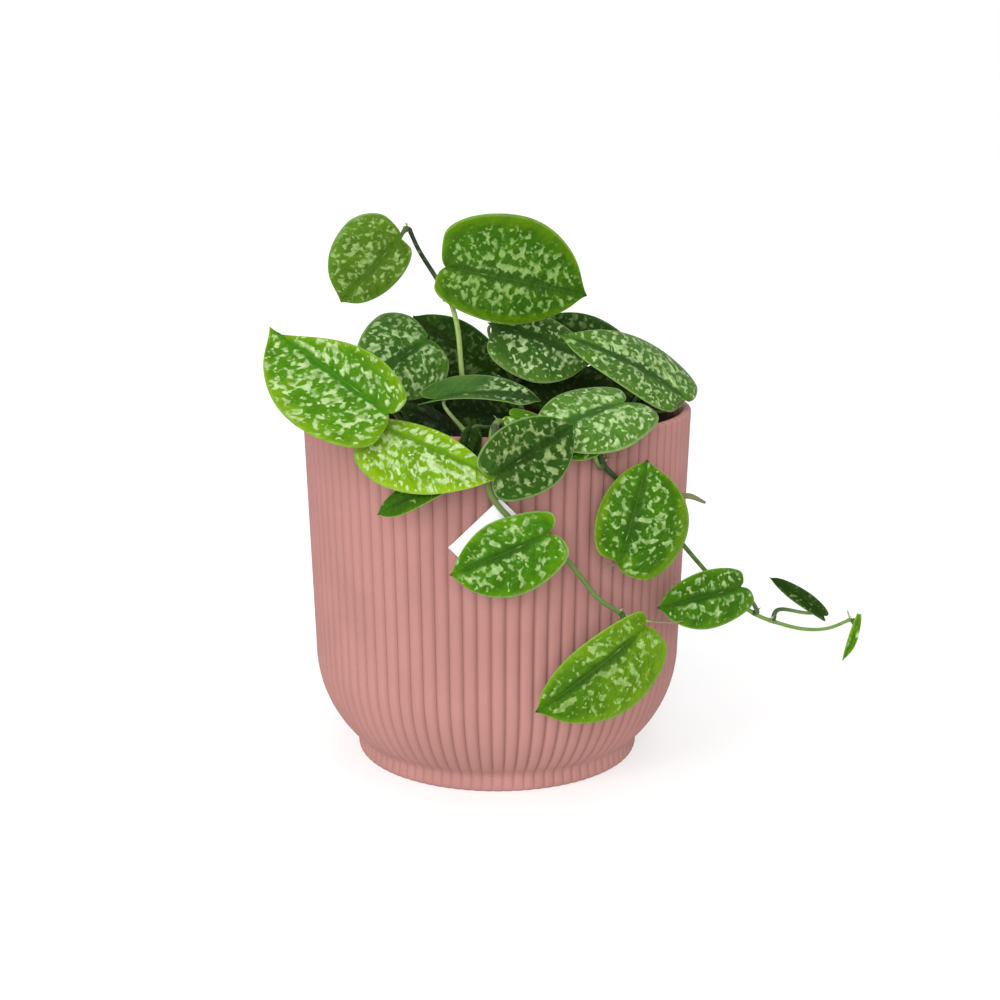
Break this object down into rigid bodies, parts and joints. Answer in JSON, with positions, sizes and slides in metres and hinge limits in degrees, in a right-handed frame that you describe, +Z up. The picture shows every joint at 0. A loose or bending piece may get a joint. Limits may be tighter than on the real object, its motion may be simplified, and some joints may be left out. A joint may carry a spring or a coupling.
{
  "type": "potted satin pothos",
  "caption": "Satin pothos with silver-splashed heart-shaped leaves on trailing stems, growing in soil in a round pot with fine upright ribs.",
  "frame": {"origin": "centre of the pot's flat underside, where it stands", "axes": "+Z up; -Y towards the front, where the card is and the stems hang over the rim; +X to the right seen from the front, where the longest stem reaches out"},
  "size_m": [0.2061, 0.1794, 0.1969],
  "materials": {
    "pot": "matte",
    "soil": "matte",
    "card": "matte",
    "stem": "satin",
    "leaf_bright": "satin",
    "leaf_fresh": "satin",
    "leaf_mid": "satin",
    "leaf_dark": "satin"
  },
  "bodies": {
    "root": {"card_blank": "card", "leaf_back_hang_left": "leaf_fresh", "leaf_back_hang_low": "leaf_fresh", "leaf_back_hang_right": "leaf_fresh", "leaf_back_left_hang": "leaf_fresh", "leaf_back_left_low": "leaf_fresh", "leaf_back_left_mid": "leaf_fresh", "leaf_back_left_rim": "leaf_mid", "leaf_back_right_hang": "leaf_fresh", "leaf_back_right_low": "leaf_fresh", "leaf_back_right_mid": "leaf_fresh", "leaf_back_right_rim": "leaf_mid", "leaf_back_rim_left": "leaf_mid", "leaf_back_rim_right": "leaf_mid", "leaf_back_upper": "leaf_dark", "leaf_behind_dark": "leaf_dark", "leaf_centre_back": "leaf_dark", "leaf_centre_back_left": "leaf_mid", "leaf_front_dark": "leaf_dark", "leaf_front_low": "leaf_fresh", "leaf_inner_back": "leaf_dark", "leaf_inner_back_left": "leaf_dark", "leaf_inner_bright": "leaf_bright", "leaf_inner_left": "leaf_dark", "leaf_inner_middle": "leaf_dark", "leaf_inner_right": "leaf_dark", "leaf_left_bright": "leaf_bright", "leaf_left_inner": "leaf_mid", "leaf_left_low": "leaf_bright", "leaf_left_under": "leaf_fresh", "leaf_middle_flat": "leaf_mid", "leaf_pot_front": "leaf_fresh", "leaf_right_dark": "leaf_mid", "leaf_right_front": "leaf_mid", "leaf_right_hang": "leaf_fresh", "leaf_right_inner": "leaf_dark", "leaf_right_side": "leaf_fresh", "leaf_right_under": "leaf_fresh", "leaf_right_upper": "leaf_mid", "leaf_rim_dark": "leaf_dark", "leaf_side_small": "leaf_dark", "leaf_side_young": "leaf_bright", "leaf_top_big": "leaf_fresh", "leaf_top_small": "leaf_mid", "leaf_upper_left": "leaf_mid", "pot": "pot", "soil": "soil", "stem_back": "stem", "stem_back_left": "stem", "stem_back_right": "stem", "stem_centre": "stem", "stem_front": "stem", "stem_left": "stem", "stem_middle": "stem", "stem_right": "stem", "stem_top": "stem", "stem_upper_left": "stem", "stem_upper_right": "stem"}
  },
  "joints": []
}
